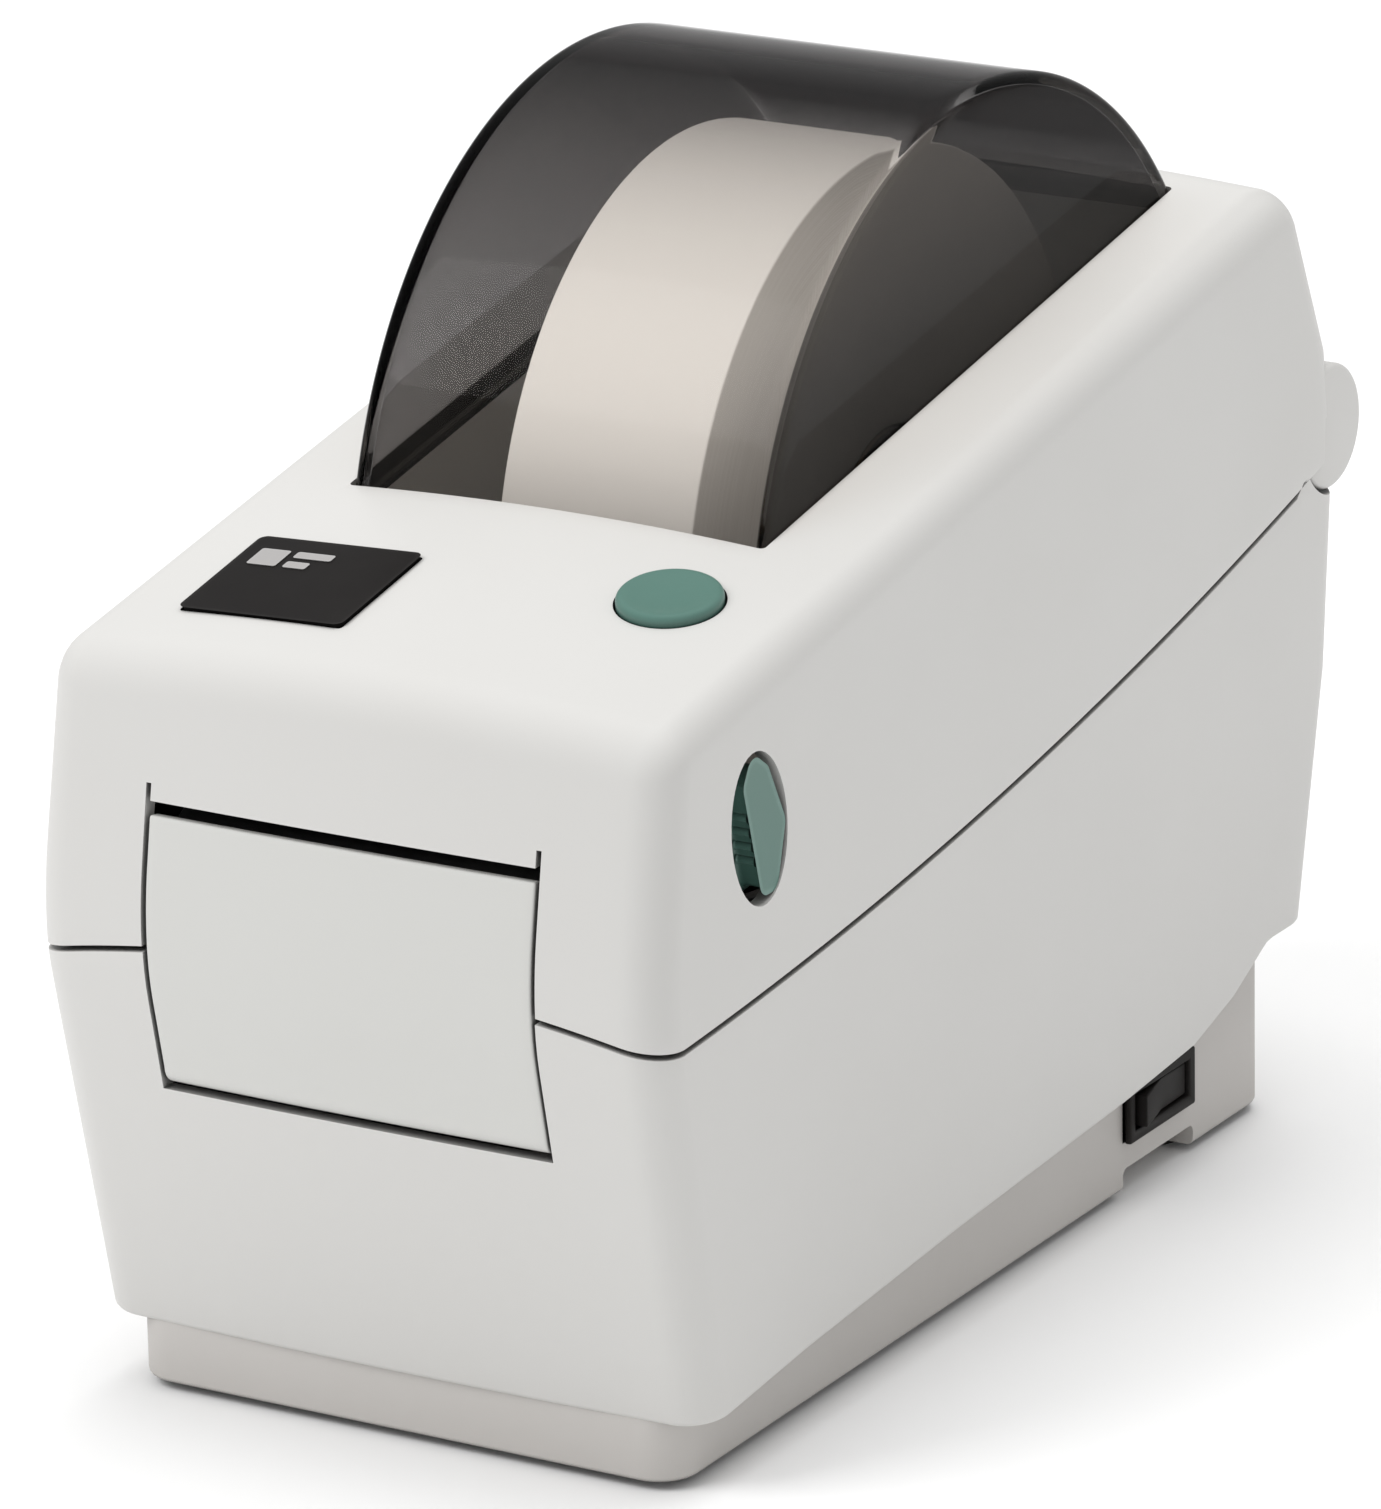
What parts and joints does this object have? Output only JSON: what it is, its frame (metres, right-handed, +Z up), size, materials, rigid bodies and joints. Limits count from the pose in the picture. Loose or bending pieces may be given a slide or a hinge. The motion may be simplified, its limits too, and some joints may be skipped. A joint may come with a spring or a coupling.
{
  "type": "thermal label printer",
  "caption": "Compact desktop thermal label printer with a hinged lid, smoked arched window over a label roll, drop-down front door and gear-driven platen.",
  "frame": {"origin": "on the table under the middle of the bounding box", "axes": "+Z up, the front of the printer faces -Y, +X is the side with the power rocker"},
  "size_m": [0.1, 0.2065, 0.1698],
  "materials": {
    "white_plastic": "fine moulded texture, satin",
    "door_plastic": "fine moulded texture, satin",
    "pan_plastic": "fine moulded texture, matt",
    "smoked_window": "smoked clear plastic, polished",
    "green_plastic": "satin",
    "black_plastic": "satin",
    "bay_plastic": "fine texture",
    "gear_plastic": "natural, satin",
    "platen_rubber": "ground, matt",
    "foot_rubber": "matt",
    "steel": "turned, bright",
    "zinc_plate": "zinc-plated sheet",
    "head_aluminium": "bead-blasted",
    "ceramic_strip": "glazed",
    "label_paper": "coated, matt",
    "core_card": "spiral-wound, matt",
    "board": "solder mask, semi-gloss",
    "light_lens": "clear-diffused"
  },
  "bodies": {
    "base": {"base_housing": "white_plastic", "base_pan": "pan_plastic", "foot_front_left": "foot_rubber", "foot_front_right": "foot_rubber", "foot_rear_left": "foot_rubber", "foot_rear_right": "foot_rubber", "case_screw_front_left": "steel", "case_screw_front_right": "steel", "case_screw_rear_left": "steel", "case_screw_rear_right": "steel", "media_bay": "bay_plastic", "pinion_stud": "steel", "label_web": "label_paper", "idler_stud": "steel", "stepper_motor": "zinc_plate", "motor_bracket": "zinc_plate", "platen_bearing_left": "black_plastic", "platen_bearing_right": "black_plastic", "media_sensor": "black_plastic", "door_pin": "steel", "hinge_pin_left": "steel", "hinge_pin_right": "steel", "switch_frame": "black_plastic", "main_board": "board", "power_inlet": "black_plastic", "usb_socket": "zinc_plate", "serial_socket": "zinc_plate"},
    "lid": {"top_housing": "white_plastic", "hood_window": "smoked_window", "badge_plate": "black_plastic", "button_board": "board", "status_light": "light_lens", "tear_bar": "steel", "head_spring_left": "steel", "head_spring_right": "steel"},
    "print_head_module": {"print_head": "ceramic_strip", "heat_sink": "head_aluminium", "head_bracket": "zinc_plate"},
    "latch": {"latch_shaft": "steel", "latch_lever_left": "green_plastic", "latch_hook_left": "black_plastic", "latch_lever_right": "green_plastic", "latch_hook_right": "black_plastic"},
    "feed_key": {"feed_button": "green_plastic"},
    "door": {"front_door": "door_plastic"},
    "platen": {"platen_shaft": "steel", "platen_roller": "platen_rubber", "platen_gear": "gear_plastic"},
    "idler": {"idler_gear": "gear_plastic"},
    "motor_rotor": {"motor_pinion": "gear_plastic", "motor_shaft": "steel"},
    "roll": {"label_roll": "label_paper", "roll_core": "core_card"},
    "holder_left": {"roll_holder_left": "bay_plastic"},
    "holder_right": {"roll_holder_right": "bay_plastic"},
    "holder_gear": {"holder_pinion": "gear_plastic"},
    "rocker": {"power_rocker": "black_plastic"}
  },
  "joints": [
    {"name": "lid_hinge", "type": "hinge", "parent": "base", "child": "lid", "pos_m": [0, 0.09388, 0.1028], "axis": [-1, 0, 0], "range_deg": [0, 95]},
    {"name": "head_pivot", "type": "hinge", "parent": "lid", "child": "print_head_module", "pos_m": [0, -0.05029, 0.097], "axis": [-1, 0, 0], "range_deg": [0, 3], "stiffness_Nm_per_rad": 4, "springref_deg": -5.73, "deforming": ["head_spring_left", "head_spring_right"]},
    {"name": "latch_turn", "type": "hinge", "parent": "lid", "child": "latch", "pos_m": [0, -0.07629, 0.101], "axis": [-1, 0, 0], "range_deg": [0, 12], "stiffness_Nm_per_rad": 0.06, "springref_deg": -22.92},
    {"name": "feed_press", "type": "slide", "parent": "lid", "child": "feed_key", "axis": [-0.0547, 0.182, -0.9818], "range_m": [0, 0.0012], "stiffness_N_per_m": 600, "springref_m": -0.0008},
    {"name": "door_hinge", "type": "hinge", "parent": "base", "child": "door", "pos_m": [0, -0.09688, 0.0523], "axis": [1, 0, 0], "range_deg": [0, 72]},
    {"name": "platen_spin", "type": "hinge", "parent": "base", "child": "platen", "pos_m": [0, -0.08879, 0.08], "axis": [1, 0, 0], "continuous": true},
    {"name": "idler_spin", "type": "hinge", "parent": "base", "child": "idler", "pos_m": [0, -0.08195, 0.06121], "axis": [1, 0, 0], "continuous": true},
    {"name": "motor_spin", "type": "hinge", "parent": "base", "child": "motor_rotor", "pos_m": [0, -0.07231, 0.04744], "axis": [1, 0, 0], "continuous": true},
    {"name": "roll_spin", "type": "hinge", "parent": "base", "child": "roll", "pos_m": [0, 0.02019, 0.1028], "axis": [1, 0, 0], "continuous": true},
    {"name": "holder_right_slide", "type": "slide", "parent": "base", "child": "holder_right", "axis": [1, 0, 0], "range_m": [0, 0.0141], "stiffness_N_per_m": 40, "springref_m": -0.02},
    {"name": "holder_left_slide", "type": "slide", "parent": "base", "child": "holder_left", "axis": [-1, 0, 0], "range_m": [0, 0.0142]},
    {"name": "holder_gear_turn", "type": "hinge", "parent": "base", "child": "holder_gear", "pos_m": [0, 0.02019, 0.032], "axis": [0, 0, -1], "range_deg": [0, 136]},
    {"name": "rocker_tip", "type": "hinge", "parent": "base", "child": "rocker", "pos_m": [0.0424, 0.04718, 0.0131], "axis": [0, 0, -1], "range_deg": [0, 14]}
  ],
  "couplings": [
    {"joint": "idler_spin", "follows": "platen_spin", "ratio": -0.66667},
    {"joint": "motor_spin", "follows": "platen_spin", "ratio": 1.6667},
    {"joint": "holder_left_slide", "follows": "holder_right_slide", "ratio": 1},
    {"joint": "holder_gear_turn", "follows": "holder_right_slide", "rad_per_m": 166.67}
  ]
}
